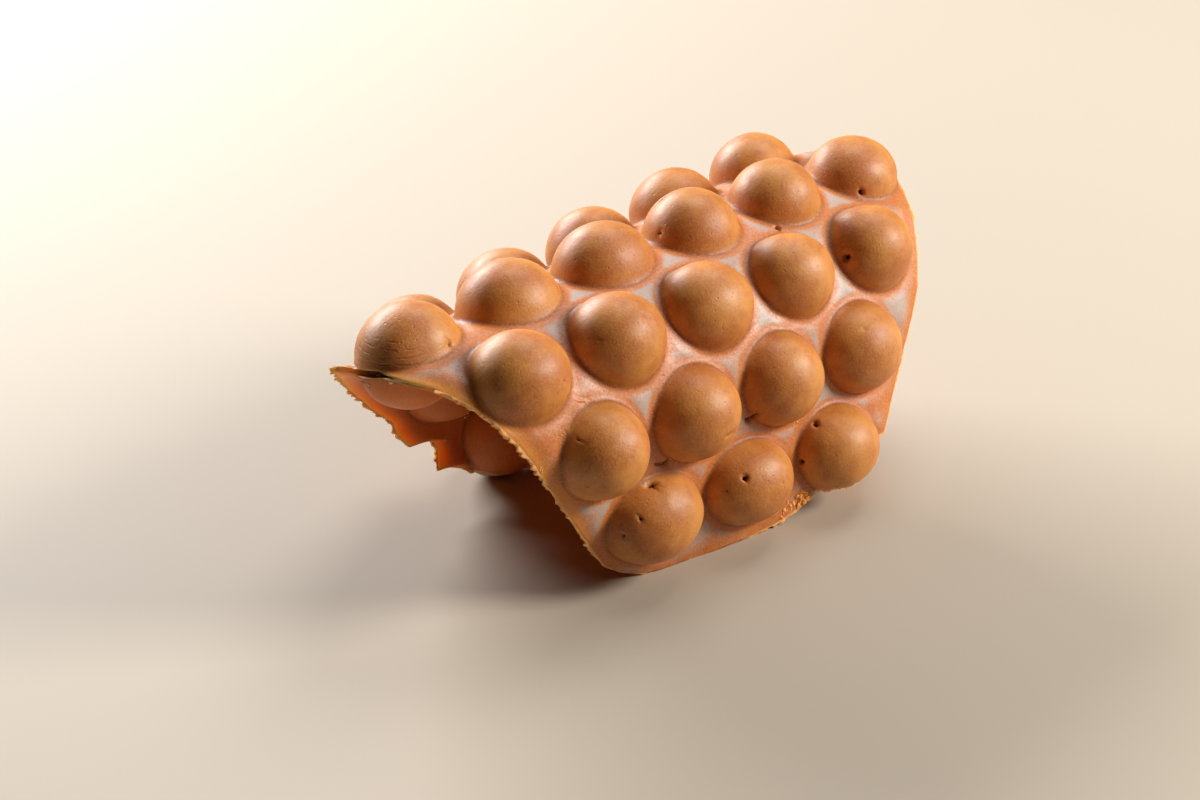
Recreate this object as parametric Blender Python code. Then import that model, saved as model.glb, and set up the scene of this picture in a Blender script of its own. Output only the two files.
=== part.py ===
"""A bubble waffle, bent over a ridge so that it stands like a tent on its two lower edges.

The waffle is one thin web with thirty round bubbles in seven rows (3-4-5-6-5-4-3). Each bubble stands
out on both faces of the web. Metres, +Z up, the ridge along X, the lower edges on Z = 0, and the front
leg, which is the better kept one, towards -Y.
"""

import math
import random

import bpy
import numpy as np
from mathutils import Vector

# Flat waffle: spacing of the bubbles, half sizes of a bubble (along its row, across, out of the web), web
PITCH = 0.0330
ROW_STEP = 0.0263
ROW_COUNTS = (3, 4, 5, 6, 5, 4, 3)
RIDGE_ROW = 3
BUBBLE_HALF = (0.0144, 0.0132, 0.0134)
WEB_THICKNESS = 0.0032

# Torn outline of the flat waffle: (v, u) points down its left and right ends, from back to front
LEFT_END = (
    (-0.0970, -0.018), (-0.0930, -0.028), (-0.0880, -0.038), (-0.0795, -0.046), (-0.0780, -0.056),
    (-0.0755, -0.052), (-0.0698, -0.056), (-0.0690, -0.063), (-0.0650, -0.067), (-0.0550, -0.071),
    (-0.0350, -0.085), (-0.0120, -0.102), (-0.0040, -0.106), (0.0010, -0.0995), (0.0090, -0.0950),
    (0.0170, -0.0915), (0.0340, -0.082), (0.0530, -0.069), (0.0770, -0.056), (0.0900, -0.0485),
    (0.0940, -0.043), (0.0965, -0.037), (0.0980, -0.029),
)
RIGHT_END = (
    (-0.0970, 0.036), (-0.0930, 0.045), (-0.0790, 0.054), (-0.0260, 0.087), (-0.0080, 0.096),
    (0.0000, 0.0970), (0.0130, 0.0930), (0.0210, 0.0900), (0.0420, 0.080), (0.0620, 0.0665),
    (0.0800, 0.0525), (0.0815, 0.046), (0.0870, 0.034), (0.0885, 0.024), (0.0925, 0.017),
    (0.0945, 0.0095), (0.0965, -0.004), (0.0980, -0.021),
)
EDGE_WANDER = 0.0006
WANDER_LENGTHS = (0.0115, 0.0047)
QUICK_SHARE = 0.6
LEFT_PHASES = (1.0, 2.3)
RIGHT_PHASES = (2.5, 5.75)

# Bend: slope of the web at each row, back leg to front leg, and what the right end adds (degrees)
SLOPES = (-106.5, -86.0, -36.0, -5.0, 43.0, 81.5, 76.5)
END_TURNS = (22.0, -1.5, 12.5, 14.0, 7.5, -8.0, -26.5)
RIDGE_BOW = 0.0016
RIDGE_MIDDLE = Vector((0.0038, 0.0022, 0.0720))

# Unevenness: the bubbles that differ from the rest, by row and place, and a small spread for all
ODD_BUBBLES = {
    (3, 1): (1.04, 1.00, 1.00), (3, 2): (1.07, 1.00, 1.00), (3, 5): (1.00, 1.00, 0.88),
    (4, 0): (1.00, 0.97, 0.96), (4, 2): (1.00, 0.97, 0.93), (4, 3): (1.00, 0.96, 0.92),
    (5, 0): (0.97, 1.00, 1.05), (5, 1): (1.00, 1.00, 1.04), (6, 0): (1.10, 1.00, 1.00),
    (6, 1): (1.04, 0.93, 0.95), (6, 2): (1.00, 0.95, 0.97),
}
SEED = 30
SIZE_SPREAD = 0.015
LEAN_SPREAD = 2.0

# Facets
BUBBLE_SIDES = 15
BUBBLE_RINGS = 8
WEB_CELLS_ALONG = 20
WEB_CELLS_ACROSS = 26
BEND_SAMPLES = 721
FRAME_REACH = 0.0005
SHARP_ANGLE = 35

HALF_RIDGE = (ROW_COUNTS[RIDGE_ROW] - 1) / 2 * PITCH
BEND_REACH = RIDGE_ROW * ROW_STEP + 0.03
BLOCK_HALF = 0.2
BLOCK_DEPTH = 0.02


def clear_scene():
    """Removes whatever objects the file holds."""
    for item in list(bpy.data.objects):
        bpy.data.objects.remove(item, do_unlink=True)


def crust_material():
    """Baked crust: toffee brown, half matte."""
    material = bpy.data.materials.new("waffle_crust")
    material.use_nodes = True
    shader = material.node_tree.nodes["Principled BSDF"]
    shader.inputs["Base Color"].default_value = (0.42, 0.19, 0.07, 1.0)
    shader.inputs["Roughness"].default_value = 0.5
    shader.inputs["Metallic"].default_value = 0.0
    return material


def bend(u, v):
    """Point on the middle of the web, for u along the ridge and v across it, down the front leg.

    The slope is interpolated between the rows, plus its change towards the right end. The point is
    the running sum of (-cos slope, -sin slope) from the ridge, with a slight bow along the ridge.
    """
    along = u / HALF_RIDGE
    rows = (np.arange(len(ROW_COUNTS)) - RIDGE_ROW) * ROW_STEP
    steps = np.linspace(-BEND_REACH, BEND_REACH, BEND_SAMPLES)
    slope = np.radians(np.interp(steps, rows, SLOPES) + np.interp(steps, rows, END_TURNS) * along)
    step = steps[1] - steps[0]
    back = -np.cos(slope)
    down = -np.sin(slope)
    y = np.concatenate(([0.0], np.cumsum((back[1:] + back[:-1]) / 2 * step)))
    z = np.concatenate(([0.0], np.cumsum((down[1:] + down[:-1]) / 2 * step)))
    y_here = np.interp(v, steps, y) - np.interp(0.0, steps, y)
    z_here = np.interp(v, steps, z) - np.interp(0.0, steps, z) + RIDGE_BOW * (1 - along * along)
    return RIDGE_MIDDLE + Vector((u, y_here, z_here))


def bend_frame(u, v):
    """The point, and the directions along the row, across it and out of the web."""
    along = bend(u + FRAME_REACH, v) - bend(u - FRAME_REACH, v)
    across = bend(u, v + FRAME_REACH) - bend(u, v - FRAME_REACH)
    outward = across.cross(along).normalized()
    along.normalize()
    return bend(u, v), along, along.cross(outward), outward


def end_of_web(outline, v, phases):
    """Where the web ends along u at v: the torn outline, running in and out in a slow and a quick wave."""
    places, ends = zip(*outline)
    slow, quick = (math.sin(v / length + phase) for length, phase in zip(WANDER_LENGTHS, phases))
    return float(np.interp(v, places, ends)) + EDGE_WANDER * (slow + QUICK_SHARE * quick)


def make_web(material):
    """A slab of even thickness, bent, on a grid stretched between the torn ends."""
    half = WEB_THICKNESS / 2
    outer = []
    inner = []
    for v in np.linspace(LEFT_END[0][0], LEFT_END[-1][0], WEB_CELLS_ACROSS + 1):
        left = end_of_web(LEFT_END, v, LEFT_PHASES)
        right = end_of_web(RIGHT_END, v, RIGHT_PHASES)
        for u in np.linspace(left, right, WEB_CELLS_ALONG + 1):
            point, _, _, outward = bend_frame(u, v)
            outer.append(point + outward * half)
            inner.append(point - outward * half)
    columns = WEB_CELLS_ALONG + 1
    count = len(outer)
    faces = []
    for j in range(WEB_CELLS_ACROSS):
        for i in range(WEB_CELLS_ALONG):
            a = j * columns + i
            b = a + 1
            c = b + columns
            d = a + columns
            faces += [(a, c, b), (a, d, c)]
            faces += [(a + count, b + count, c + count), (a + count, c + count, d + count)]
    rim = list(range(columns))
    rim += [j * columns + WEB_CELLS_ALONG for j in range(1, WEB_CELLS_ACROSS + 1)]
    rim += [WEB_CELLS_ACROSS * columns + i for i in range(WEB_CELLS_ALONG - 1, -1, -1)]
    rim += [j * columns for j in range(WEB_CELLS_ACROSS - 1, 0, -1)]
    for a, b in zip(rim, rim[1:] + rim[:1]):
        faces += [(a, b, b + count), (a, b + count, a + count)]
    mesh = bpy.data.meshes.new("waffle")
    mesh.from_pydata(outer + inner, [], faces)
    mesh.materials.append(material)
    web = bpy.data.objects.new("waffle", mesh)
    bpy.context.scene.collection.objects.link(web)
    return web


def make_bubble(row, place, chance, collection):
    """An egg-shaped ball through the web, a little uneven in size and lean."""
    u = (place - (ROW_COUNTS[row] - 1) / 2) * PITCH
    v = (row - RIDGE_ROW) * ROW_STEP
    odd = ODD_BUBBLES.get((row, place), (1.0, 1.0, 1.0))
    length, width, rise = (
        half * factor * (1.0 + chance.uniform(-SIZE_SPREAD, SIZE_SPREAD))
        for half, factor in zip(BUBBLE_HALF, odd)
    )
    lean = math.radians(chance.uniform(-LEAN_SPREAD, LEAN_SPREAD))
    centre, along, across, outward = bend_frame(u, v)
    top = (outward + along * math.sin(lean)).normalized()
    points = [centre + top * rise]
    for ring in range(1, BUBBLE_RINGS):
        fall = math.pi * ring / BUBBLE_RINGS
        for side in range(BUBBLE_SIDES):
            turn = 2 * math.pi * side / BUBBLE_SIDES
            flat = along * length * math.cos(turn) + across * width * math.sin(turn)
            points.append(centre + flat * math.sin(fall) + top * rise * math.cos(fall))
    points.append(centre - top * rise)
    last = len(points) - 1
    last_ring = 1 + (BUBBLE_RINGS - 2) * BUBBLE_SIDES
    faces = []
    for side in range(BUBBLE_SIDES):
        other = (side + 1) % BUBBLE_SIDES
        faces.append((0, 1 + other, 1 + side))
        faces.append((last, last_ring + side, last_ring + other))
        for ring in range(BUBBLE_RINGS - 2):
            a = 1 + ring * BUBBLE_SIDES
            b = a + BUBBLE_SIDES
            faces += [(a + side, b + other, b + side), (a + side, a + other, b + other)]
    mesh = bpy.data.meshes.new("bubble")
    mesh.from_pydata(points, [], faces)
    bubble = bpy.data.objects.new("bubble", mesh)
    collection.objects.link(bubble)


def rest_block():
    """A block whose top is the surface that the waffle stands on, to flatten its feet."""
    corners = []
    for z in (-BLOCK_DEPTH, 0.0):
        for x, y in ((-1, -1), (1, -1), (1, 1), (-1, 1)):
            corners.append((x * BLOCK_HALF, y * BLOCK_HALF, z))
    faces = [(0, 3, 2, 1), (4, 5, 6, 7), (0, 1, 5, 4), (1, 2, 6, 5), (2, 3, 7, 6), (3, 0, 4, 7)]
    mesh = bpy.data.meshes.new("standing_surface")
    mesh.from_pydata(corners, [], faces)
    block = bpy.data.objects.new("standing_surface", mesh)
    block.hide_render = True
    block.display_type = "WIRE"
    bpy.context.scene.collection.objects.link(block)
    return block


def apply_modifiers(item):
    """Replaces the object's mesh by the one its modifiers give, and drops the modifiers."""
    seen = item.evaluated_get(bpy.context.evaluated_depsgraph_get())
    finished = bpy.data.meshes.new_from_object(seen)
    item.modifiers.clear()
    item.data = finished


def fuse_bubbles(web, collection):
    """Joins web and bubbles into one closed body."""
    union = web.modifiers.new("bubbles", "BOOLEAN")
    union.operation = "UNION"
    union.operand_type = "COLLECTION"
    union.collection = collection
    union.solver = "MANIFOLD"
    apply_modifiers(web)
    for bubble in list(collection.objects):
        bpy.data.objects.remove(bubble, do_unlink=True)
    bpy.data.collections.remove(collection)


def flatten_feet(web, block):
    """Cuts off what would sink into the surface below."""
    cut = web.modifiers.new("feet", "BOOLEAN")
    cut.operation = "DIFFERENCE"
    cut.object = block
    cut.solver = "MANIFOLD"
    apply_modifiers(web)
    bpy.data.objects.remove(block, do_unlink=True)


def main():
    clear_scene()
    chance = random.Random(SEED)
    web = make_web(crust_material())
    bubbles = bpy.data.collections.new("bubbles")
    bpy.context.scene.collection.children.link(bubbles)
    for row, count in enumerate(ROW_COUNTS):
        for place in range(count):
            make_bubble(row, place, chance, bubbles)
    fuse_bubbles(web, bubbles)
    flatten_feet(web, rest_block())
    web.data.shade_smooth()
    web.data.set_sharp_from_angle(angle=math.radians(SHARP_ANGLE))


main()
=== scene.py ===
# %% [markdown]
# A bubble waffle, bent over a ridge like a tent
#
# A bubble waffle is baked between two iron plates full of round cups. Thin batter joins the cups into a
# web, and every bubble swells out of both faces of it. The warm sheet was folded over, torn at both ends,
# and left standing on its two lower edges. This lesson makes it as one closed skin: a grid of points in
# the flat sheet is bent, blown up over the bubbles, torn, and given a baked finish.

# %% Load the solid that everything here follows
import math
import random

import bpy
import numpy as np
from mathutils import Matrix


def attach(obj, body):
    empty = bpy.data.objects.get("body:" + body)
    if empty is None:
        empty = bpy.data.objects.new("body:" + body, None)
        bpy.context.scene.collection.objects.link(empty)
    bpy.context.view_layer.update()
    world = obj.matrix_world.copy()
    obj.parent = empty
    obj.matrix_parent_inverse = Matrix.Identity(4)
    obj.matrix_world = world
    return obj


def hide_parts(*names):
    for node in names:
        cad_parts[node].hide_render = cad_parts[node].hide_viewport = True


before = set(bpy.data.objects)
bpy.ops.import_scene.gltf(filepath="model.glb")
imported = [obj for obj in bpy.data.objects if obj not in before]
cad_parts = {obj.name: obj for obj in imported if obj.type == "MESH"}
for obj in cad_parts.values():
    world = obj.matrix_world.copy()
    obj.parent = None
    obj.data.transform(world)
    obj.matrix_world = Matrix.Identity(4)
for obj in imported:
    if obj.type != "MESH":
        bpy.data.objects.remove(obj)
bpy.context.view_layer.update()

MM = 0.001
SKY = np.array([0.0, 0.0, 1.0])

# %% [markdown]
# The camera comes first, because some details are placed by where they are seen. It stands left of and in
# front of the waffle, well above it, with a long lens. Its three directions are worked out from a heading,
# a downward tilt and a very small roll.

# %% Camera
CAMERA_AT = np.array([-0.3397, -0.3935, 0.3326])
HEADING = math.radians(39.41)
LOOK_DOWN = math.radians(30.4)
ROLL = math.radians(-1.17)
LENS_MM = 61.94
SENSOR_MM = 36.0
IMAGE = (1200, 800)


def camera_directions():
    """Right, up and forward: a level camera turned to its heading, tilted down, then rolled."""
    level = np.array([math.cos(HEADING), -math.sin(HEADING), 0.0])
    ahead = np.array([math.sin(HEADING), math.cos(HEADING), 0.0])
    forward = ahead * math.cos(LOOK_DOWN) - SKY * math.sin(LOOK_DOWN)
    above = np.cross(level, forward)
    right = level * math.cos(ROLL) + above * math.sin(ROLL)
    return right, np.cross(right, forward), forward


RIGHT, UP, FORWARD = camera_directions()


def to_image(points):
    """Pixel of each point: its offsets right and down, over its depth, times the focal length."""
    focal = LENS_MM / SENSOR_MM * IMAGE[0]
    away = points - CAMERA_AT
    depth = away @ FORWARD
    across = IMAGE[0] / 2 + focal * (away @ RIGHT) / depth
    down = IMAGE[1] / 2 - focal * (away @ UP) / depth
    return across, down, depth


def stand(name, data, place, right, above, back):
    """An object at a place, turned so that its own axes lie along right, above and back."""
    item = bpy.data.objects.new(name, data)
    turn = np.eye(4)
    turn[:3, :3] = np.stack((right, above, back), axis=1)
    turn[:3, 3] = place
    item.matrix_world = turn.T.tolist()
    bpy.context.scene.collection.objects.link(item)
    return item


lens_data = bpy.data.cameras.new("camera")
lens_data.lens = LENS_MM
lens_data.sensor_width = SENSOR_MM
bpy.context.scene.camera = stand("camera", lens_data, CAMERA_AT, RIGHT, UP, -FORWARD)
print("camera looks along", FORWARD.round(3))

# %% [markdown]
# Every size starts from the iron: bubbles 33 mm apart in rows of 3, 4, 5, 6, 5, 4 and 3. A place on the
# flat sheet has two numbers, u along the ridge and v across it, down the front leg. The bend is given by
# the slope of the sheet at each row. Adding up small steps along that slope gives the bent sheet, so no
# length is stretched. The sums are kept in a table, because they are asked for hundreds of thousands of
# times.

# %% The flat sheet and its bend
PITCH = 0.0330
ROW_STEP = 0.0263
ROW_COUNTS = (3, 4, 5, 6, 5, 4, 3)
RIDGE_ROW = 3
SLOPES = (-106.5, -86.0, -36.0, -5.0, 43.0, 81.5, 76.5)
END_TURNS = (22.0, -1.5, 12.5, 14.0, 7.5, -8.0, -26.5)
RIDGE_BOW = 0.0016
RIDGE_MIDDLE = np.array([0.0038, 0.0022, 0.0720])
HALF_RIDGE = (ROW_COUNTS[RIDGE_ROW] - 1) / 2 * PITCH
WEB_THICKNESS = 0.0032
TABLE_REACH = RIDGE_ROW * ROW_STEP + 0.03
TABLE_ENDS = 1.6
TABLE_SIZE = (65, 721)
TABLE_RIM = 1.001
FRAME_REACH = 0.0005


def bend_table():
    """Height and depth of the bent sheet: running sums of -sin and -cos of the slope, from the ridge."""
    steps = np.linspace(-TABLE_REACH, TABLE_REACH, TABLE_SIZE[1])
    along = np.linspace(-TABLE_ENDS, TABLE_ENDS, TABLE_SIZE[0])[:, None]
    rows = (np.arange(len(ROW_COUNTS)) - RIDGE_ROW) * ROW_STEP
    slope = np.radians(np.interp(steps, rows, SLOPES) + np.interp(steps, rows, END_TURNS) * along)
    sums = []
    for part in (-np.cos(slope), -np.sin(slope)):
        areas = (part[:, 1:] + part[:, :-1]) / 2 * (steps[1] - steps[0])
        total = np.concatenate((np.zeros((len(along), 1)), np.cumsum(areas, axis=1)), axis=1)
        sums.append(total - total[:, [len(steps) // 2]])
    return np.stack(sums, axis=-1)


BEND_TABLE = bend_table()


def bend(places):
    """Point on the middle of the bent sheet, read between the four nearest entries of the table."""
    u, v = places[..., 0], places[..., 1]
    along = u / HALF_RIDGE
    ends, steps = TABLE_SIZE
    a = np.clip((along + TABLE_ENDS) / (2 * TABLE_ENDS) * (ends - 1), 0, ends - TABLE_RIM)
    b = np.clip((v + TABLE_REACH) / (2 * TABLE_REACH) * (steps - 1), 0, steps - TABLE_RIM)
    i = a.astype(int)
    j = b.astype(int)
    a = (a - i)[..., None]
    b = (b - j)[..., None]
    near = BEND_TABLE[i, j] * (1 - b) + BEND_TABLE[i, j + 1] * b
    far = BEND_TABLE[i + 1, j] * (1 - b) + BEND_TABLE[i + 1, j + 1] * b
    place = near * (1 - a) + far * a
    bow = RIDGE_BOW * (1 - along * along)
    return np.stack((u, place[..., 0], place[..., 1] + bow), axis=-1) + RIDGE_MIDDLE


def length(vectors):
    """How long each vector is."""
    return np.linalg.norm(vectors, axis=-1)


def unit(vectors):
    """The same directions, each one long."""
    return vectors / np.maximum(length(vectors), 1e-12)[..., None]


def dot(a, b):
    """Scalar product of two arrays of vectors."""
    return np.sum(a * b, axis=-1)


def ease(x):
    """Smooth step from 0 to 1."""
    x = np.clip(x, 0.0, 1.0)
    return x * x * (3 - 2 * x)


def rise(x, low, high):
    """Smooth step from 0 at low to 1 at high, where high may also be the smaller one."""
    return ease((x - low) / (high - low))


def sheet_frame(places):
    """Directions along the row, across it and out of the sheet, from small steps along u and v."""
    along, across = [bend(places + step) - bend(places - step) for step in FRAME_REACH * np.eye(2)]
    along = unit(along)
    outward = unit(np.cross(across, along))
    return along, np.cross(along, outward), outward


print("ridge height", round(float(bend(np.zeros(2))[2]), 4))

# %% [markdown]
# The bubbles are eggs with three half sizes, set through the sheet in rigid frames: the batter in them is
# baked firm, so they keep their shape while the web between them bends. Some differ clearly in the real
# one and are named; all differ a little, by seeded chance, just as in the solid.

# %% Bubbles
BUBBLE_HALF = (0.0144, 0.0132, 0.0134)
ODD_BUBBLES = {
    (3, 1): (1.04, 1.00, 1.00), (3, 2): (1.07, 1.00, 1.00), (3, 5): (1.00, 1.00, 0.88),
    (4, 0): (1.00, 0.97, 0.96), (4, 2): (1.00, 0.97, 0.93), (4, 3): (1.00, 0.96, 0.92),
    (5, 0): (0.97, 1.00, 1.05), (5, 1): (1.00, 1.00, 1.04), (6, 0): (1.10, 1.00, 1.00),
    (6, 1): (1.04, 0.93, 0.95), (6, 2): (1.00, 0.95, 0.97),
}
SIZE_SEED = 30
SIZE_SPREAD = 0.015
LEAN_SPREAD = 2.0


def make_bubbles():
    """Places on the sheet, centres, turned frames and half sizes of the thirty bubbles, row by row."""
    chance = random.Random(SIZE_SEED)
    places = []
    sizes = []
    leans = []
    for row, count in enumerate(ROW_COUNTS):
        for place in range(count):
            odd = ODD_BUBBLES.get((row, place), (1.0, 1.0, 1.0))
            places.append(((place - (count - 1) / 2) * PITCH, (row - RIDGE_ROW) * ROW_STEP))
            sizes.append([half * factor * (1.0 + chance.uniform(-SIZE_SPREAD, SIZE_SPREAD))
                          for half, factor in zip(BUBBLE_HALF, odd)])
            leans.append(math.radians(chance.uniform(-LEAN_SPREAD, LEAN_SPREAD)))
    places = np.array(places)
    along, across, outward = sheet_frame(places)
    top = unit(outward + along * np.sin(leans)[:, None])
    along = np.cross(top, across)
    frames = np.stack((unit(along), across, top), axis=1)
    return places, bend(places), frames, np.array(sizes)


BUBBLE_PLACES, BUBBLE_CENTRES, BUBBLE_FRAMES, BUBBLE_SIZES = make_bubbles()
print(len(BUBBLE_PLACES), "bubbles, half sizes in mm", (BUBBLE_SIZES.mean(axis=0) / MM).round(1))

# %% [markdown]
# One rule turns a place on the flat sheet into a point of the baked skin. Inside a bubble's round foot the
# distance from its middle becomes an angle on the egg; outside it the point lies on the bent web. Close to
# the foot the egg is shifted a little, so that it ends just where the web begins. Then every point slides,
# in a few steps, until it lies on the blend of web and eggs. The blend is a smooth smallest distance,
# which leaves a small round fillet at each foot and joins eggs that touch under the tight bend. This does
# what a Boolean union and a bevel would, but keeps the tidy grid.

# %% From sheet to skin
FILLET = 0.0016
SLIDES = 7
LEAST_WAY = 0.2
NEIGHBOURS = 3
FOOT_HEIGHTS = (-0.6, 0.9)


def bubble_distance(places, which):
    """How far each place is from a bubble's middle, in parts of its foot, and the angle round it."""
    away = (places - BUBBLE_PLACES[which]) / BUBBLE_SIZES[which, :2]
    return np.hypot(away[..., 0], away[..., 1]), np.arctan2(away[..., 1], away[..., 0])


def nearest_bubbles(places):
    """The few nearest bubbles of each place, nearest first."""
    far, _ = bubble_distance(places[..., None, :], np.arange(len(BUBBLE_PLACES)))
    return np.argsort(far, axis=-1)[..., :NEIGHBOURS]


def egg_distance(points, which):
    """Distance outside an egg and the way out: k0 (k0 - 1) / k1 with k0 the length in parts of the half
    sizes, and k1 the same with squared sizes."""
    frames = BUBBLE_FRAMES[which]
    sizes = BUBBLE_SIZES[which]
    local = np.einsum("...ij,...j->...i", frames, points - BUBBLE_CENTRES[which])
    k0 = length(local / sizes)
    slope = local / sizes**2
    k1 = np.maximum(length(slope), 1e-6)
    way = np.einsum("...ij,...i->...j", frames, unit(slope))
    return k0 * (k0 - 1.0) / k1, way


def blend_distances(first, first_way, second, second_way):
    """Smooth smallest of two distances, and the way out as the same mix of the two ways."""
    gap = np.clip(1.0 - np.abs(first - second) / FILLET, 0.0, None)
    smaller = first < second
    share = np.where(smaller, 1.0 - gap / 2, gap / 2)[..., None]
    distance = np.minimum(first, second) - gap * gap * FILLET / 4
    return distance, first_way * share + second_way * (1 - share)


def find_feet(side, half, which, turn):
    """Where an egg meets the web in one direction round it: the web's point there, and the angle from
    the egg's top, which is the arc cosine of that point's height."""
    around = np.stack((np.cos(turn), np.sin(turn)), axis=-1)
    place = BUBBLE_PLACES[which] + BUBBLE_SIZES[which, :2] * around
    _, _, outward = sheet_frame(place)
    foot = bend(place) + outward * side * half[..., None]
    height = side * dot(foot - BUBBLE_CENTRES[which], BUBBLE_FRAMES[which][..., 2, :])
    return foot, np.arccos(np.clip(height / BUBBLE_SIZES[which, 2], *FOOT_HEIGHTS))


def on_ball(tilt, turn):
    """Direction at an angle from the top of a ball, in one direction round it."""
    ring = np.sin(tilt)
    return np.stack((ring * np.cos(turn), ring * np.sin(turn), np.cos(tilt)), axis=-1)


def egg_points(side, which, turn, tilt):
    """Points of an egg at an angle from its top, in one direction round it."""
    local = on_ball(tilt, turn) * (1, 1, side) * BUBBLE_SIZES[which]
    return BUBBLE_CENTRES[which] + np.einsum("...ij,...i->...j", BUBBLE_FRAMES[which], local)


def skin(places, side, thin=1.0):
    """Points of the baked skin on one side, and the ways out of it; thin is the web's share of its
    full thickness at each place."""
    half = np.broadcast_to(WEB_THICKNESS / 2 * np.asarray(thin), places.shape[:-1])
    near = nearest_bubbles(places)
    which = near[..., 0]
    part, turn = bubble_distance(places, which)
    _, _, outward = sheet_frame(places)
    outward = outward * side
    web = bend(places) + outward * half[..., None]
    foot, foot_tilt = find_feet(side, half, which, turn)
    egg = egg_points(side, which, turn, np.minimum(part, 1.0) * foot_tilt)
    egg += (foot - egg_points(side, which, turn, foot_tilt)) * ease(2.0 * part - 1.0)[..., None]
    points = np.where((part < 1.0)[..., None], egg, web)
    for _ in range(SLIDES):
        distance = dot(points - web, outward)
        way = outward
        for k in range(NEIGHBOURS):
            other, other_way = egg_distance(points, near[..., k])
            distance, way = blend_distances(distance, way, other, other_way)
        points = points - way * (distance / np.maximum(dot(way, way), LEAST_WAY))[..., None]
    return points, unit(way)


through = length(skin(BUBBLE_PLACES, 1.0)[0] - skin(BUBBLE_PLACES, -1.0)[0])
print("bubbles are", (through.min() / MM).round(1), "to", (through.max() / MM).round(1), "mm thick")

# %% [markdown]
# The sheet was torn by hand, so its outline is ragged. It is kept as four sides, measured on the real one
# as places on the flat sheet. A grid is stretched between them: a straight mix of left and right sides
# plus a mix of back and front sides, less the mix of the corners. Smooth copies of the sides guide the
# grid, and the difference to the ragged ones fades out towards the middle, so the tears don't wrinkle the
# whole sheet. The lines lie closer together on the front leg, where more is seen.

# %% Torn outline and grid
ROWS = 230
COLUMNS = 204
LEFT_SIDE = (
    (-0.0455, -0.0848), (-0.0530, -0.0800), (-0.0575, -0.0790), (-0.0555, -0.0730), (-0.0565, -0.0694),
    (-0.0602, -0.0688), (-0.0640, -0.0682), (-0.0674, -0.0632), (-0.0686, -0.0582), (-0.0762, -0.0489),
    (-0.0865, -0.0339), (-0.0957, -0.0170), (-0.0990, -0.0098), (-0.1048, -0.0045), (-0.0994, -0.0030),
    (-0.0976, -0.0012), (-0.0971, 0.0015), (-0.0963, 0.0045), (-0.0955, 0.0072), (-0.0957, 0.0098),
    (-0.0949, 0.0140), (-0.0931, 0.0165), (-0.0893, 0.0205), (-0.0831, 0.0287), (-0.0795, 0.0335),
    (-0.069, 0.0530), (-0.056, 0.0770), (-0.0485, 0.0900), (-0.043, 0.0940),
)
RIGHT_SIDE = (
    (0.045, -0.0930), (0.054, -0.0790), (0.087, -0.0260), (0.096, -0.0080), (0.0970, 0.0000),
    (0.0930, 0.0130), (0.0900, 0.0210), (0.080, 0.0420), (0.0665, 0.0620), (0.0525, 0.0800),
)
BACK_SIDE = (
    (-0.0455, -0.0848), (-0.038, -0.0890), (-0.028, -0.0930), (-0.018, -0.0970), (0.036, -0.0970),
    (0.045, -0.0930),
)
FRONT_SIDE = (
    (-0.043, 0.0940), (-0.037, 0.0965), (-0.029, 0.0980), (-0.021, 0.0980), (-0.004, 0.0965),
    (0.0095, 0.0945), (0.017, 0.0925), (0.024, 0.0885), (0.034, 0.0870), (0.046, 0.0815), (0.0525, 0.0800),
)
BACK_LEG_SPACING = 1.35
TEAR_FADE = 0.022
SMOOTHINGS = 90


def along_line(points, parts):
    """Rows of numbers read at given parts of the length of a line of straight pieces. The line's places
    or points are the first two or three numbers of each row."""
    points = np.array(points)
    lengths = np.concatenate(([0.0], np.cumsum(length(np.diff(points[:, :3], axis=0)))))
    return np.stack([np.interp(parts * lengths[-1], lengths, column) for column in points.T], axis=1)


def smoothed(line):
    """The line with each place drawn to the mean of its neighbours, many times; the ends stay."""
    line = line.copy()
    for _ in range(SMOOTHINGS):
        line[1:-1] = line[1:-1] / 2 + (line[:-2] + line[2:]) / 4
    return line


def row_parts():
    """Where the rows lie, from 0 at the back to 1 at the front, with wider steps on the back leg."""
    steps = np.linspace(BACK_LEG_SPACING, 1.0, ROWS // 2)
    steps = np.concatenate((steps, np.ones(ROWS - len(steps))))
    return np.concatenate(([0.0], np.cumsum(steps))) / steps.sum()


def torn_grid():
    """Grid of places between the four sides, and each place's distance from the nearest side."""
    s = row_parts()
    t = np.linspace(0.0, 1.0, COLUMNS + 1)
    ragged = [along_line(side, parts) for side, parts in
              ((LEFT_SIDE, s), (RIGHT_SIDE, s), (BACK_SIDE, t), (FRONT_SIDE, t))]
    left, right, back, front = [smoothed(side) for side in ragged]
    s = s[:, None, None]
    t = t[None, :, None]
    corners = (1 - s) * ((1 - t) * left[0] + t * right[0]) + s * ((1 - t) * left[-1] + t * right[-1])
    grid = (1 - t) * left[:, None] + t * right[:, None] + (1 - s) * back[None] + s * front[None] - corners
    edges = np.full(grid.shape[:2], np.inf)
    sides = (grid[:, :1], grid[:, -1:], grid[:1], grid[-1:])
    moves = [a - b for a, b in zip(ragged, (left, right, back, front))]
    moves = (moves[0][:, None], moves[1][:, None], moves[2][None], moves[3][None])
    shift = np.zeros_like(grid)
    for side, move in zip(sides, moves):
        far = length(grid - side)
        edges = np.minimum(edges, far)
        shift += move * (np.clip(1 - far / TEAR_FADE, 0, 1) ** 2)[..., None]
    return grid + shift, edges


GRID, EDGE_DISTANCE = torn_grid()
print("grid", GRID.shape[:2], "widest step in mm", round(float(length(np.diff(GRID, axis=1)).max()) / MM, 2))

# %% [markdown]
# Steam left the bubbles through small vents, and bending cracked the web in places. Each such mark is
# listed by the pixel where it is seen, with its real size. To find its place on the sheet, a plain skin is
# made on the grid, and of its points near that pixel the ones closest to the camera are averaged. On the
# leg that the camera doesn't see, vents are placed by seeded chance.

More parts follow.
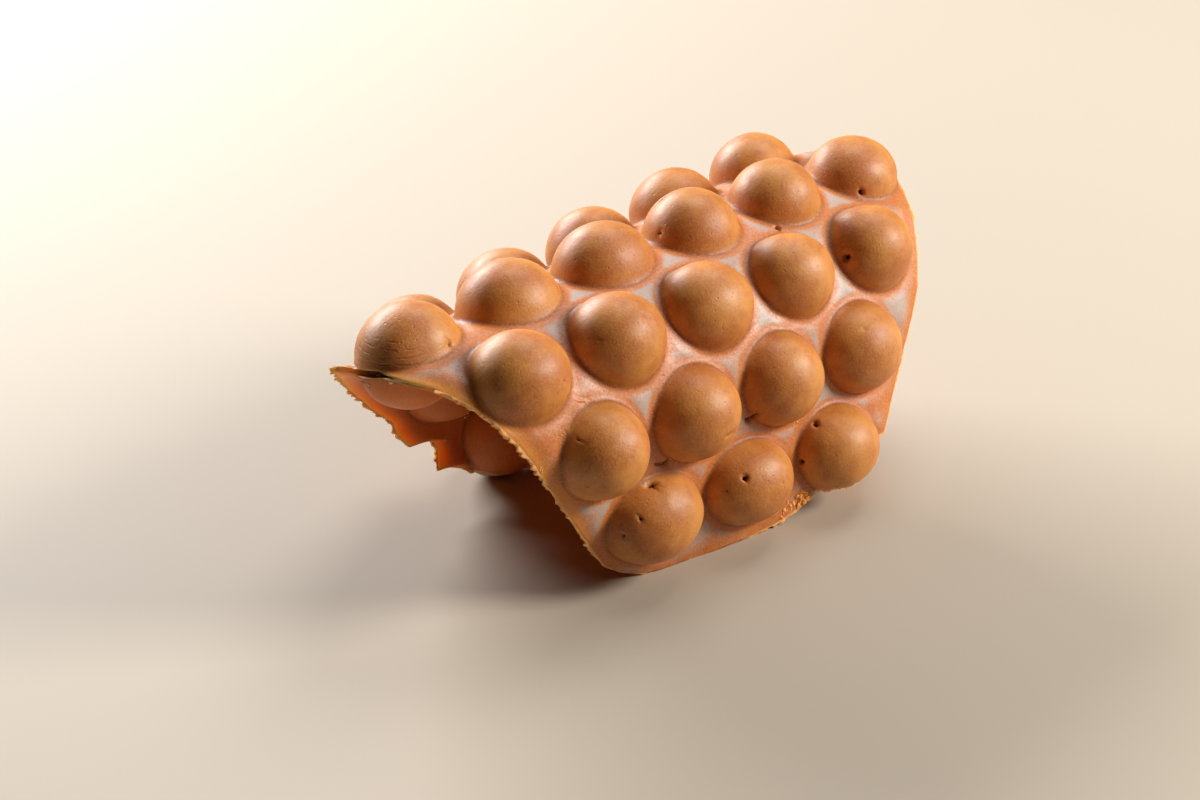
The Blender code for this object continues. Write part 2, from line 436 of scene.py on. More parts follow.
# %% Marks found by pixel
VENTS = (
    # pixel, radius and depth in mm, stretch along the row
    ((745, 478), 0.85, 2.2, 1.0), ((727, 491), 0.45, 0.7, 1.0), ((783, 483), 0.35, 0.4, 1.0),
    ((815, 424), 0.90, 2.2, 1.0), ((803, 420), 0.60, 0.9, 1.0), ((802, 462), 0.80, 1.5, 1.0),
    ((651, 484), 1.05, 2.0, 1.9), ((640, 519), 0.55, 0.9, 0.8), ((624, 536), 0.60, 0.7, 1.0),
    ((578, 440), 0.50, 0.7, 0.6), ((638, 443), 0.35, 0.5, 1.0), ((632, 458), 0.35, 0.5, 1.0),
    ((587, 487), 0.35, 0.4, 1.0), ((564, 381), 0.35, 0.7, 1.0), ((450, 345), 0.70, 1.3, 0.7),
    ((661, 199), 0.90, 2.0, 1.4), ((660, 233), 0.70, 1.2, 1.0), ((695, 172), 0.70, 0.9, 1.6),
    ((777, 228), 0.90, 2.0, 1.0), ((861, 193), 0.80, 1.6, 1.0), ((846, 258), 1.20, 2.6, 1.2),
    ((600, 340), 0.35, 0.4, 1.0), ((864, 329), 0.60, 0.3, 2.2), ((762, 399), 0.50, 0.3, 2.4),
)
CRACKS = (
    # pixels along the crack, half width and depth in mm
    (((655, 464), (663, 465), (669, 460)), 0.52, 0.8),
    (((746, 420), (752, 418), (757, 415)), 0.55, 0.8),
    (((726, 438), (734, 432)), 0.30, 0.7),
    (((575, 397), (580, 401), (584, 398), (590, 402)), 0.22, 0.3),
    (((578, 404), (583, 402), (586, 408)), 0.20, 0.3),
    (((640, 316), (646, 312), (652, 318), (649, 324)), 0.25, 0.15),
    (((560, 297), (566, 303), (574, 302)), 0.22, 0.3),
    (((503, 428), (508, 436), (507, 444)), 0.20, 0.25),
)
PIXEL_REACH = 3.0
PIXEL_SOFTNESS = 0.3
LAYER_DEPTH = 4 * MM
HIDDEN_VENTS = 9
HIDDEN_ROWS = 2
HIDDEN_SEED = 5
HIDDEN_AWAY = (0.1, 0.6)
HIDDEN_RADIUS = (0.35, 0.9)
HIDDEN_DEPTH = (0.5, 2.0)


def plain_view():
    """Each point of the plain outer skin that faces the camera: place on the sheet, pixel and depth."""
    points, ways = skin(GRID, 1.0)
    facing = dot(ways, CAMERA_AT - points) > 0
    across, down, depth = to_image(points[facing])
    return GRID[facing], across, down, depth


LOOKS = plain_view()


def sheet_place(pixel):
    """Place on the sheet seen at a pixel: mean of the near, front-most points, nearer ones counting more."""
    places, across, down, depth = LOOKS
    far = np.hypot(across - pixel[0], down - pixel[1])
    close = far < far.min() + PIXEL_REACH
    front = close & (depth < depth[close].min() + LAYER_DEPTH)
    weight = 1.0 / (far[front] + PIXEL_SOFTNESS) ** 2
    return (places[front] * weight[:, None]).sum(axis=0) / weight.sum()


def hidden_vents():
    """Vents of the leg that the camera doesn't see, by seeded chance, off their bubbles' middles."""
    chance = np.random.default_rng(HIDDEN_SEED)
    found = []
    for which in chance.choice(sum(ROW_COUNTS[:HIDDEN_ROWS]), HIDDEN_VENTS):
        turn = chance.uniform(0, 2 * math.pi)
        away = BUBBLE_SIZES[which, :2] * (math.cos(turn), math.sin(turn)) * chance.uniform(*HIDDEN_AWAY)
        radius = chance.uniform(*HIDDEN_RADIUS)
        depth = chance.uniform(*HIDDEN_DEPTH)
        found.append((BUBBLE_PLACES[which] + away, radius, depth, 1.0))
    return found


VENT_PITS = [(sheet_place(pixel), *sizes) for pixel, *sizes in VENTS] + hidden_vents()
CRACK_LINES = [np.array([sheet_place(pixel) for pixel in line]) for line, _, _ in CRACKS]
print(len(VENT_PITS), "vents, the first at", (VENT_PITS[0][0] / MM).round(1))

# %% [markdown]
# The grid's steps are about a millimetre, and a vent is no bigger. So the grid is drawn together where
# detail is needed: round each foot, each vent and along each crack, as under a lens. A lens moves a point
# towards its middle by a share that fades to nothing at its rim, so lines never cross. The number of faces
# stays the same.

# %% Draw the grid together
LENS_REACH = 0.0050
LENS_CLOSENESS = 0.26
CRACK_LENS_REACH = LENS_REACH * 0.7
CRACK_CLOSENESS = 0.35
STILL_EDGE = 0.003
FOOT_CLOSENESS = 0.45
FOOT_REACH_IN = 0.34
FOOT_REACH_OUT = 0.14


def clearance(places):
    """Distance past the nearest foot in metres, less than zero on a bubble; then that bubble, the
    distance from its middle in parts of its foot, and the angle round it."""
    which = nearest_bubbles(places)[..., 0]
    part, turn = bubble_distance(places, which)
    return (part - 1.0) * BUBBLE_SIZES[which, :2].mean(axis=-1), which, part, turn


def gather_feet(places):
    """Moves places along the line from the nearest bubble's middle, closer to its foot."""
    _, which, part, _ = clearance(places)
    past = part - 1.0
    reach = np.where(past < 0, FOOT_REACH_IN, FOOT_REACH_OUT)
    share = FOOT_CLOSENESS + (1 - FOOT_CLOSENESS) * ease(np.abs(past) / reach)
    wanted = 1.0 + past * share
    middle = BUBBLE_PLACES[which]
    return middle + (places - middle) * (wanted / np.maximum(part, 1e-6))[..., None]


def nearest_on_line(places, line):
    """Nearest place on a line of straight pieces, and how far it is."""
    best = np.full(places.shape[:-1], np.inf)
    found = np.zeros_like(places)
    for a, b in zip(line[:-1], line[1:]):
        part = np.clip(((places - a) @ (b - a)) / max((b - a) @ (b - a), 1e-12), 0, 1)
        spot = a + part[..., None] * (b - a)
        far = length(places - spot)
        found = np.where((far < best)[..., None], spot, found)
        best = np.minimum(best, far)
    return found, best


def lens(places, line, reach, closeness):
    """Draws places towards the nearest spot of a line, by a share that fades out at the lens's rim."""
    spot, far = nearest_on_line(places, line)
    share = closeness + (1 - closeness) * ease(far / reach)
    return spot + (places - spot) * share[..., None]


def gathered_grid():
    """The torn grid after feet, vents and cracks have drawn it together; the sides stay put."""
    places = gather_feet(GRID)
    for spot, _, _, _ in VENT_PITS:
        places = lens(places, np.stack((spot, spot)), LENS_REACH, LENS_CLOSENESS)
    for line in CRACK_LINES:
        places = lens(places, line, CRACK_LENS_REACH, CRACK_CLOSENESS)
    keep = ease(EDGE_DISTANCE / STILL_EDGE)[..., None]
    return GRID + (places - GRID) * keep


PLACES = gathered_grid()
print("moved grid points up to", round(float(length(PLACES - GRID).max()) / MM, 2), "mm")

# %% [markdown]
# Soft random relief keeps the skin from looking turned on a lathe. It comes from a small block of random
# numbers: each point reads its eight nearest numbers and blends them smoothly.

# %% Soft random relief
LATTICE = 24
LATTICE_START = 1000.0


def cloudy(points, size, seed):
    """Soft random values from -1 to 1 that change over about one size, blended between lattice corners."""
    lattice = np.random.default_rng(seed).uniform(-1, 1, (LATTICE, LATTICE, LATTICE))
    cell = np.asarray(points) / size + LATTICE_START
    low = np.floor(cell).astype(int)
    part = ease(cell - low)
    total = np.zeros(cell.shape[:-1])
    for corner in np.ndindex(2, 2, 2):
        weight = np.prod(np.where(corner, part, 1 - part), axis=-1)
        index = (low + corner) % LATTICE
        total += weight * lattice[index[..., 0], index[..., 1], index[..., 2]]
    return total


def waves(points, height, size, seed):
    """Soft random values from -height to height."""
    return height * cloudy(points, size, seed)


print("waves at three corners of a cube", waves(np.eye(3), 1.0, 0.7, 1).round(2))

# %% [markdown]
# The web isn't flat. Between the bubbles it rises to a soft pillow, and all of the skin waves a little. The
# distance past the nearest foot tells web and bubble apart. The vents are pits with a low lip and the
# cracks are grooves. The first bubble of the ridge has parted at its torn side: both of its lips swell and
# its lower half hangs deeper. The creases round the parting are finer than the grid, so the finish makes
# them.

# %% Relief of the skin
PILLOW_RISE = 0.00035
PILLOW_REACH = 0.0052
# height, size and seed of each kind of waves, in metres, and of the unevenness of pits and grooves
WEB_WAVES = (0.00022, 5 * MM, 3)
EGG_WAVES = (0.00016, 8 * MM, 4)
FINE_WAVES = (0.00004, 1.6 * MM, 5)
WOBBLE = (0.18, 0.7 * MM, 6)
EGG_RISE = 2.5 * MM
WEB_RISE = 1.5 * MM
# where a pit's wall starts and ends, in parts of its radius, and its lip's height, place and width
PIT_WALL = (1.10, 0.45)
PIT_LIP = (0.05 * MM, 1.35, 0.3)
# height and place of a crack's lip and width of its floor, the last two in parts of its half width
CRACK_LIP = (0.12 * MM, 1.8)
CRACK_FLOOR = 0.3
# depths in mm at which a hollow's painted shade is fully dark
DARK_PIT = 0.9
DARK_CRACK = 1.1
RELIEF_EDGE = 0.6 * MM
THIN_EDGE = 0.30
THIN_REACH = 0.0075
PARTED = 12
PARTED_WIDTH = (1.9 / 3, 2.9 / 3)
PARTED_TURN = math.radians(150)
CREASED_TURN = math.radians(172)
PARTED_SWELL = {1.0: 0.0006, -1.0: 0.0014}
SWELL_START = (0.45, 0.95)
SWELL_END = (1.30, 1.10)
PARTED_DROP = 0.0020
DROP_END = (1.05, 0.75)
SPIKE_TIP = np.array([-0.1048, -0.0045])
SPIKE_REACH = 0.0095
SPIKE_CURL = 0.0036


def pits(points, middle, along, radius, stretch):
    """Distance from a vent's middle in parts of its radius, shorter along the row for a slot."""
    away = points - middle
    run = away @ along
    return np.sqrt(np.maximum(dot(away, away) - run**2 + (run / stretch) ** 2, 0)) / radius


def parted_share(which, turn):
    """How much a place belongs to the parted side of the first ridge bubble, from 0 to 1."""
    return rise(np.cos(turn - PARTED_TURN), *PARTED_WIDTH) * (which == PARTED)


def relief(places, points, side):
    """Height to add along the way out, and how deep each point lies in a vent or crack, from 0 to 1."""
    gap, _, _, _ = clearance(places)
    on_egg = ease(-gap / EGG_RISE)
    height = PILLOW_RISE * ease(gap / PILLOW_REACH)
    height += (1 - on_egg) * ease(gap / WEB_RISE) * waves(points, *WEB_WAVES)
    height += on_egg * waves(points, *EGG_WAVES)
    height += waves(points, *FINE_WAVES)
    hollow = np.zeros_like(height)
    if side < 0:
        return height, hollow
    wobble = 1 + waves(points, *WOBBLE)
    lip, lip_place, lip_width = PIT_LIP
    for spot, radius, depth, stretch in VENT_PITS:
        middle, _ = skin(spot[None], side)
        along, _, _ = sheet_frame(spot[None])
        far = pits(points, middle[0], along[0], radius * MM, stretch) * wobble
        inside = rise(far, *PIT_WALL)
        height += lip * radius * np.exp(-(((far - lip_place) / lip_width) ** 2)) - depth * MM * inside
        hollow = np.maximum(hollow, inside * min(1.0, depth / DARK_PIT))
    lip, lip_place = CRACK_LIP
    for line, (_, half, depth) in zip(CRACK_LINES, CRACKS):
        _, far = nearest_on_line(places, line)
        inside = 1 - ease(far * wobble / (half * MM) - CRACK_FLOOR)
        height += lip * np.exp(-((far / (half * MM) - lip_place) ** 2)) - depth * MM * inside
        hollow = np.maximum(hollow, inside * min(1.0, depth / DARK_CRACK))
    return height, hollow


def local_moves(places, side):
    """What isn't in the even bend: the parted bubble swells at its seam and its lower half hangs
    deeper, and the torn spike curls upwards."""
    _, which, part, turn = clearance(places)
    frames = BUBBLE_FRAMES[which]
    away = frames[..., 0, :] * np.cos(turn)[..., None] + frames[..., 1, :] * np.sin(turn)[..., None]
    swell = rise(part, *SWELL_START) * rise(part, *SWELL_END)
    swell = PARTED_SWELL[side] * parted_share(which, turn) * swell
    drop = PARTED_DROP * (which == PARTED) * rise(part, *DROP_END) * (side < 0)
    curl = SPIKE_CURL * ease(1 - length(places - SPIKE_TIP) / SPIKE_REACH)
    return SKY * curl[..., None] + away * swell[..., None] - frames[..., 2, :] * drop[..., None]


def finished_side(side):
    """Points of one face of the waffle with all relief, and its hollows."""
    thin = THIN_EDGE + (1 - THIN_EDGE) * ease(EDGE_DISTANCE / THIN_REACH)
    points, ways = skin(PLACES, side, thin)
    height, hollow = relief(PLACES, points, side)
    fade = ease(EDGE_DISTANCE / RELIEF_EDGE)
    points = points + ways * (height * fade)[..., None] + local_moves(PLACES, side)
    return points, hollow


OUTER, OUTER_HOLLOW = finished_side(1.0)
INNER, INNER_HOLLOW = finished_side(-1.0)
print("outer face spans mm", ((OUTER.max(axis=(0, 1)) - OUTER.min(axis=(0, 1))) / MM).round(1))

# %% [markdown]
# The two faces are closed by a rim. It follows the torn outline as one loop, and goes from the outer face
# to the inner one in a few steps of a half circle. At the parted bubble it bends inwards instead, which
# leaves the gap between its two halves.

# %% Rim and mesh
RIM_STEPS = 6
RIM_DEPTH = 0.0003
GAP_DEPTH = 0.0030


# point numbers of the grid, and those once round its outline: back, right, front and left
NUMBERS = np.arange((ROWS + 1) * (COLUMNS + 1)).reshape(ROWS + 1, COLUMNS + 1)
AROUND = np.concatenate((NUMBERS[0, :-1], NUMBERS[:-1, -1], NUMBERS[-1, :0:-1], NUMBERS[:0:-1, 0]))
LOOP = np.unravel_index(AROUND, NUMBERS.shape)


def rim_frame():
    """Middle of the torn edge, the way from there to its upper lip, and the way out of it within the
    sheet."""
    rows, columns = LOOP
    inward = np.clip(rows, 2, ROWS - 2), np.clip(columns, 2, COLUMNS - 2)
    upper = OUTER[LOOP]
    lower = INNER[LOOP]
    out = (upper + lower - OUTER[inward] - INNER[inward]) / 2
    thick = unit(upper - lower)
    out = out - thick * dot(out, thick)[:, None]
    for _ in range(3):
        out = (np.roll(out, 1, axis=0) + out + np.roll(out, -1, axis=0)) / 3
    return (upper + lower) / 2, (upper - lower) / 2, unit(out)


def rim_parting():
    """How much each point of the outline belongs to the parted side, from 0 to 1."""
    _, which, _, turn = clearance(GRID[LOOP])
    return parted_share(which, turn)


def rim_points():
    """Rows of points from the upper lip to the lower one, on a half ellipse that stands out of the edge."""
    middle, half, out = rim_frame()
    turn = math.pi * np.arange(1, RIM_STEPS)[:, None, None] / RIM_STEPS
    depth = RIM_DEPTH - (RIM_DEPTH + GAP_DEPTH) * rim_parting()[:, None]
    return middle + half * np.cos(turn) + out * (depth * np.sin(turn))


def band_faces(rings):
    """Four-cornered faces between closed rings of point numbers, ring by ring."""
    return np.concatenate([
        np.stack((one, np.roll(one, -1), np.roll(other, -1), other), axis=-1)
        for one, other in zip(rings, rings[1:])
    ])


def crust_mesh():
    """Points and four-cornered faces of both faces and the rim, all facing outwards."""
    rim = rim_points()
    outer = OUTER.reshape(-1, 3)
    inner = INNER.reshape(-1, 3)
    points = np.concatenate((outer, inner, rim.reshape(-1, 3)))
    a, b, c, d = NUMBERS[:-1, :-1], NUMBERS[:-1, 1:], NUMBERS[1:, 1:], NUMBERS[1:, :-1]
    upper = np.stack((a, d, c, b), axis=-1).reshape(-1, 4)
    lower = np.stack((a, b, c, d), axis=-1).reshape(-1, 4) + len(outer)
    between = np.arange(2 * len(outer), len(points)).reshape(rim.shape[:2])
    return points, np.concatenate((upper, lower, band_faces([AROUND, *between, AROUND + len(outer)])))


def make_object(name, points, faces):
    """A smooth-shaded mesh object at the origin from arrays of points and faces."""
    mesh = bpy.data.meshes.new(name)
    points = points.copy()
    points[:, 2] = np.maximum(points[:, 2], 0.0)
    mesh.from_pydata(points.tolist(), [], faces.tolist())
    mesh.shade_smooth()
    item = bpy.data.objects.new(name, mesh)
    bpy.context.scene.collection.objects.link(item)
    return item


def give_attribute(item, name, values):
    """A number for each point of the mesh, which materials can read."""
    layer = item.data.attributes.new(name, "FLOAT", "POINT")
    layer.data.foreach_set("value", np.asarray(values, dtype=np.float32).ravel())


crust_points, crust_faces = crust_mesh()
crust = make_object("waffle_crust", crust_points, crust_faces)
print("crust", 2 * len(crust_faces), "triangles")

# %% [markdown]
# A torn edge isn't smooth: the two baked skins of the web part a little, and small teeth of crumb stand
# out of it. A narrow closed tube is carried once round the outline, in much finer steps than the grid.
# Its section is flat, with a groove between two lips, and soft noise pushes the lips in and out. A finer
# grid could show the same, but would need ten times the faces.

# %% Torn crumb
CRUMB_STEPS = 2600
CRUMB_SIDES = 12
CRUMB_COVER = 0.00012
CRUMB_REACH = 0.00070
CRUMB_TEETH = 0.00100
CRUMB_LEAST = 0.0001
CRUMB_ROOT = 0.0006
# share, size and seed of large, middle and small teeth, and how far in and out they may go
TEETH = ((0.7, 2.3 * MM, 20), (1.0, 1.1 * MM, 21), (0.6, 0.5 * MM, 22))
TEETH_LIMITS = (-0.6, 1.2)
GROOVE = 0.00045
GROOVE_WIDTH = 0.45
GROOVE_WAVES = (1.0, 7 * MM, 23)
CRUMB_GRAIN = (0.00012, 0.4 * MM, 24)
GAP_RETREAT = 0.0036


def crumb_tube():
    """Points of the tube: middle + out (reach + teeth - groove) cos a + up (half + cover) sin a, and how
    far each stands out, from 0 to 1."""
    loop = np.concatenate((*rim_frame(), rim_parting()[:, None]), axis=1)
    loop = along_line([*loop, loop[0]], np.arange(CRUMB_STEPS) / CRUMB_STEPS)
    middle, half, out, parting = loop[:, :3], loop[:, 3:6], unit(loop[:, 6:9]), loop[:, 9]
    thick = length(half)[:, None]
    up = half / thick
    middle = middle - out * (GAP_RETREAT * parting)[:, None]
    turn = 2 * math.pi * np.arange(CRUMB_SIDES) / CRUMB_SIDES
    across = np.sin(turn)
    raised = (thick * (1 - 0.5 * parting[:, None]) + CRUMB_COVER) * across
    spots = middle[:, None] + up[:, None] * raised[..., None]
    teeth = np.clip(sum(waves(spots, *size) for size in TEETH), *TEETH_LIMITS)
    groove = GROOVE * (1 + waves(spots, *GROOVE_WAVES)) * np.exp(-((across / GROOVE_WIDTH) ** 2))
    reach = np.maximum(CRUMB_REACH + CRUMB_TEETH * teeth - groove, CRUMB_LEAST)
    reach = np.where(np.cos(turn) > 0, reach, CRUMB_ROOT) * np.cos(turn)
    points = spots + out[:, None] * reach[..., None]
    points += up[:, None] * waves(points, *CRUMB_GRAIN)[..., None]
    return points, ease(reach / (CRUMB_REACH + CRUMB_TEETH))


def tube_faces(count, sides):
    """Faces of a closed tube of count rings with so many points each."""
    number = np.arange(count * sides).reshape(count, sides).T
    return band_faces([*number, number[0]])


tube_points, tube_tips = crumb_tube()
torn_crumb = make_object("torn_crumb", tube_points.reshape(-1, 3), tube_faces(CRUMB_STEPS, CRUMB_SIDES))
give_attribute(torn_crumb, "tip", tube_tips)
print("torn crumb", 2 * CRUMB_STEPS * CRUMB_SIDES, "triangles")

# %% [markdown]
# Loose crumb clings where the batter broke: whitish flakes in the parting of the first ridge bubble, pale
# specks along the cracks, and an orange crumbly lump at the right end of the front edge. Each crumb is a
# small ball whose radius is changed by noise, pressed flat along the skin. All of them are one mesh, and a
# number on each says how pale it is.

# %% Crumbs
CRUMB_PLACES = (
    # pixel, how many, spread and size in mm, tip value: 0 is orange and 1 is cream
    ((362, 371), 7, 0.8, 0.60, 1.0), ((371, 372), 7, 0.8, 0.60, 1.0), ((392, 380), 7, 1.6, 0.45, 0.9),
    ((360, 382), 9, 1.8, 0.45, 0.8), ((366, 386), 8, 2.0, 0.35, 0.7),
    ((655, 467), 8, 1.6, 0.32, 0.9), ((676, 462), 8, 2.4, 0.28, 0.9), ((748, 418), 5, 1.2, 0.28, 0.7),
    ((801, 502), 26, 3.0, 0.75, 0.0), ((797, 424), 6, 1.4, 0.32, 0.2), ((470, 418), 6, 2.0, 0.25, 0.7),
    ((540, 477), 6, 2.0, 0.25, 0.7), ((788, 510), 12, 3.0, 0.60, 0.1),
)
CRUMB_TURNS = 10
CRUMB_RINGS = 7
CRUMB_FLATNESS = 0.70
CRUMB_SEED = 11
CRUMB_SPREAD = (0.5, 1.15)
CRUMB_STRETCH = (0.6, 1.2)
CRUMB_DENTS = (0.9, 0.5)
CRUMB_LIFT = 0.15
SAME_FACE = 0.2
NOISE_REACH = 9


def seen_points():
    """All finished points of both faces that face the camera: point, way out, pixel and depth."""
    points = np.concatenate([face[1:-1, 1:-1].reshape(-1, 3) for face in (OUTER, INNER)])
    ways = []
    for face, side in ((OUTER, 1.0), (INNER, -1.0)):
        down = face[2:, 1:-1] - face[:-2, 1:-1]
        across = face[1:-1, 2:] - face[1:-1, :-2]
        ways.append(unit(side * np.cross(down, across)).reshape(-1, 3))
    ways = np.concatenate(ways)
    facing = dot(ways, CAMERA_AT - points) > 0
    return points[facing], ways[facing], to_image(points[facing])


def crumb_ball():
    """Directions on a ball, pole to pole, as closed rings, with one point for each pole."""
    tilt = math.pi * np.arange(1, CRUMB_RINGS) / CRUMB_RINGS
    turn = 2 * math.pi * np.arange(CRUMB_TURNS) / CRUMB_TURNS
    rings = on_ball(*np.meshgrid(tilt, turn, indexing="ij")).reshape(-1, 3)
    return np.concatenate((rings, [[0, 0, 1.0], [0, 0, -1.0]]))


def crumb_faces():
    """Faces of one ball: bands between rings and a fan at each pole, as triangles."""
    number = np.arange((CRUMB_RINGS - 1) * CRUMB_TURNS).reshape(CRUMB_RINGS - 1, CRUMB_TURNS)
    bands = band_faces(number)
    faces = [bands[:, (0, 3, 2)], bands[:, (0, 2, 1)]]
    top, low = number[0], number[-1]
    last = number.size
    faces.append(np.stack((top, np.roll(top, -1), np.full(CRUMB_TURNS, last)), axis=-1))
    faces.append(np.stack((np.roll(low, -1), low, np.full(CRUMB_TURNS, last + 1)), axis=-1))
    return np.concatenate(faces)


def make_crumbs():
    """Points, faces and tip values of all crumbs, each set on the skin seen at its pixel."""
    points, ways, (across, down, depth) = seen_points()
    chance = np.random.default_rng(CRUMB_SEED)
    ball, ball_faces = crumb_ball(), crumb_faces()
    made, faces, tips = [], [], []
    for pixel, count, spread, size, tip in CRUMB_PLACES:
        far = np.hypot(across - pixel[0], down - pixel[1])
        close = far < far.min() + PIXEL_REACH / 2
        first = np.flatnonzero(close)[np.argmin(depth[close])]
        patch = length(points - points[first])
        patch = np.flatnonzero((patch < spread * MM) & (ways @ ways[first] > SAME_FACE))
        for spot in chance.choice(patch, count):
            radius = size * MM * chance.uniform(*CRUMB_SPREAD)
            where = ball + chance.uniform(-NOISE_REACH, NOISE_REACH, 3)
            rough = 1 + waves(where, *CRUMB_DENTS, CRUMB_SEED)
            shape = ball * rough[:, None] * radius * chance.uniform(*CRUMB_STRETCH, 3)
            shape -= CRUMB_FLATNESS * np.outer(shape @ ways[spot], ways[spot])
            faces.append(ball_faces + len(made) * len(ball))
            made.append(points[spot] + ways[spot] * CRUMB_LIFT * radius + shape)
            tips.append(np.full(len(ball), tip))
    return np.concatenate(made), np.concatenate(faces), np.concatenate(tips)


loose_points, loose_faces, loose_tips = make_crumbs()
crumbs = make_object("loose_crumbs", loose_points, loose_faces)
give_attribute(crumbs, "tip", loose_tips)
print("loose crumbs", len(loose_faces), "triangles")

# %% [markdown]
# The finish has to know what each point is. Eight numbers are stored on the points: how much it is egg,
# plateau (the middle of the web between three bubbles), foot, torn rim, thin margin along the tear, hollow
# of a vent or crack, inside face and creased side of the parted bubble. The plateau carries a painted
# sheen; foot, creased side and hollow carry painted shade, and the inside face a painted warm bounce of
# light. The margin is thinnest on the back leg's left end, where light shines through it.

# %% Numbers for the finish
EGG_FOOT = (0.45 * MM, -0.45 * MM)
PLATEAU_START = (1.2 * MM, 3.4 * MM)
PLATEAU_AT_EDGE = 0.20
PLATEAU_FULL = 10.0 * MM
# place and width of the painted shade round each foot, where the coat is also dulled
FOOT_AT = 0.1 * MM
FOOT_WIDTH = 0.8 * MM
TORN_REACH = 0.5 * MM
MARGIN_REACH = 6.0 * MM
THIN_FRONT = 0.42
THIN_ALONG = (0.0, -0.030)
THIN_BACK = (0.0, -0.010)
THIN_FOOT = (0.085, 0.065)
CREASED_WIDTH = (0.2, 0.7)
CREASED_START = (0.55, 0.85)
# share of painted shade in the gap of the parted bubble's seam
SEAM_HOLLOW = 0.8


def point_numbers():
    """The eight numbers of every point: of the outer face, of the inner face, and of a ring of the rim."""
    gap, which, part, turn = clearance(PLACES)
    u, v = PLACES[..., 0], PLACES[..., 1]
    egg = rise(gap, *EGG_FOOT)
    inward = ease(EDGE_DISTANCE / PLATEAU_FULL)
    plateau = rise(gap, *PLATEAU_START) * (PLATEAU_AT_EDGE + (1 - PLATEAU_AT_EDGE) * inward)
    foot = np.exp(-(((gap - FOOT_AT) / FOOT_WIDTH) ** 2))
    torn = 1 - ease(EDGE_DISTANCE / TORN_REACH)
    thin = rise(u, *THIN_ALONG) * rise(v, *THIN_FOOT)
    thin *= THIN_FRONT + (1 - THIN_FRONT) * rise(v, *THIN_BACK)
    margin = (1 - ease(EDGE_DISTANCE / MARGIN_REACH)) * thin
    creased = rise(np.cos(turn - CREASED_TURN), *CREASED_WIDTH) * rise(part, *CREASED_START)
    return {
        "egg": (egg, egg, 0),
        "plateau": (plateau, plateau, 0),
        "foot": (foot, foot, 0),
        "torn": (torn, torn, 1),
        "margin": (margin, margin, thin[LOOP]),
        "inside": (0, 1, 0),
        "creased": (creased * (which == PARTED), 0, 0),
        "hollow": (OUTER_HOLLOW, INNER_HOLLOW, SEAM_HOLLOW * rim_parting()),
    }


shapes = (NUMBERS.shape, NUMBERS.shape, (RIM_STEPS - 1, len(AROUND)))
for name, parts in point_numbers().items():
    values = np.concatenate([np.broadcast_to(part, shape).ravel() for part, shape in zip(parts, shapes)])
    give_attribute(crust, name, values)
    print(name, "mean", values.mean().round(3))

# %% [markdown]
# Shader maths reads best as plain sums. One small class wraps a socket of a node tree. Adding, taking
# away or multiplying wires makes Math nodes, and every other node comes from its one method.

# %% Sums with shader sockets
class Wire:
    """A socket of a node tree on which sums can be done, or a bare tree to make first nodes in."""

    def __init__(self, tree, socket=None):
        self.tree = tree
        self.socket = socket

    def node(self, kind, inputs=None, output=0, **settings):
        """Makes a node, sets its settings first and then its sockets, and returns one of its outputs."""
        made = self.tree.nodes.new(kind)
        for name, value in settings.items():
            setattr(made, name, value)
        feed(made, inputs or {})
        return Wire(self.tree, made.outputs[output])

    def sum(self, operation, first, second):
        return self.node("ShaderNodeMath", {0: first, 1: second}, operation=operation)

    def __add__(self, other):
        return self.sum("ADD", self, other)

    def __radd__(self, other):
        return self.sum("ADD", other, self)

    def __sub__(self, other):
        return self.sum("SUBTRACT", self, other)

    def __rsub__(self, other):
        return self.sum("SUBTRACT", other, self)

    def __mul__(self, other):
        return self.sum("MULTIPLY", self, other)

    def step(self, low, high):
        """Smooth step of this value from 0 at low to 1 at high."""
        return self.node("ShaderNodeMapRange", {"Value": self, "From Min": low, "From Max": high},
                         interpolation_type="SMOOTHSTEP")

    def mix(self, first, second):
        """Colour mixed from first to second by this value."""
        return self.node("ShaderNodeMix", {0: self, 6: first, 7: second}, output=2, data_type="RGBA")


def feed(node, inputs):
    """Sets a node's sockets, by wire or by value."""
    for name, value in inputs.items():
        if isinstance(value, Wire):
            node.id_data.links.new(value.socket, node.inputs[name])
        else:
            node.inputs[name].default_value = value


def tone(red, green, blue):
    """A colour with full alpha."""
    return red, green, blue, 1.0

# %% [markdown]
# The crust is one material. The bubbles are matte caramel with fine pores, whose pits are painted darker as
# shade; the web is orange and a little glossier, with a painted pale sheen on the plateaus in its middle;
# the inside face is painted a deeper orange for warm light bounced into the shade under the arch. Painted
# shade also darkens each foot, the creases of the parted bubble, and the vents, cracks and parting. Numbers
# stored on the points say which is which, and noise in the piece's own coordinates makes each of them
# uneven. Ripples draw the creases of the parted bubble. A little light passes under all of the surface.
# Through the thin torn margin much more does, so a second shader that scatters fully is mixed in there.

# %% Crust finish
EGG_LIGHT = tone(0.58, 0.222, 0.034)
EGG_DARK = tone(0.45, 0.124, 0.012)
WEB_ORANGE = tone(0.54, 0.142, 0.010)
# painted sheen: the pale lavender reflection of the cool lamps on the web's plateaus, put into the colour
PAINTED_PLATEAU_SHEEN = tone(0.44, 0.325, 0.275)
# painted warm bounce: the inner face's deeper orange stands for warm light bounced into the shade under the
# arch
PAINTED_WARM_BOUNCE = tone(0.74, 0.165, 0.008)
MARGIN = tone(1.00, 0.430, 0.045)
# painted shade: the dark contact line round each foot and in the parted bubble's creases
PAINTED_CREASE_SHADE = tone(0.24, 0.050, 0.005)
TORN = tone(1.00, 0.46, 0.17)
# painted shade in the vents, cracks and the parted bubble's gap
PAINTED_HOLLOW_SHADE = tone(0.05, 0.016, 0.006)
GRAIN_LIGHT = tone(0.72, 0.42, 0.18)
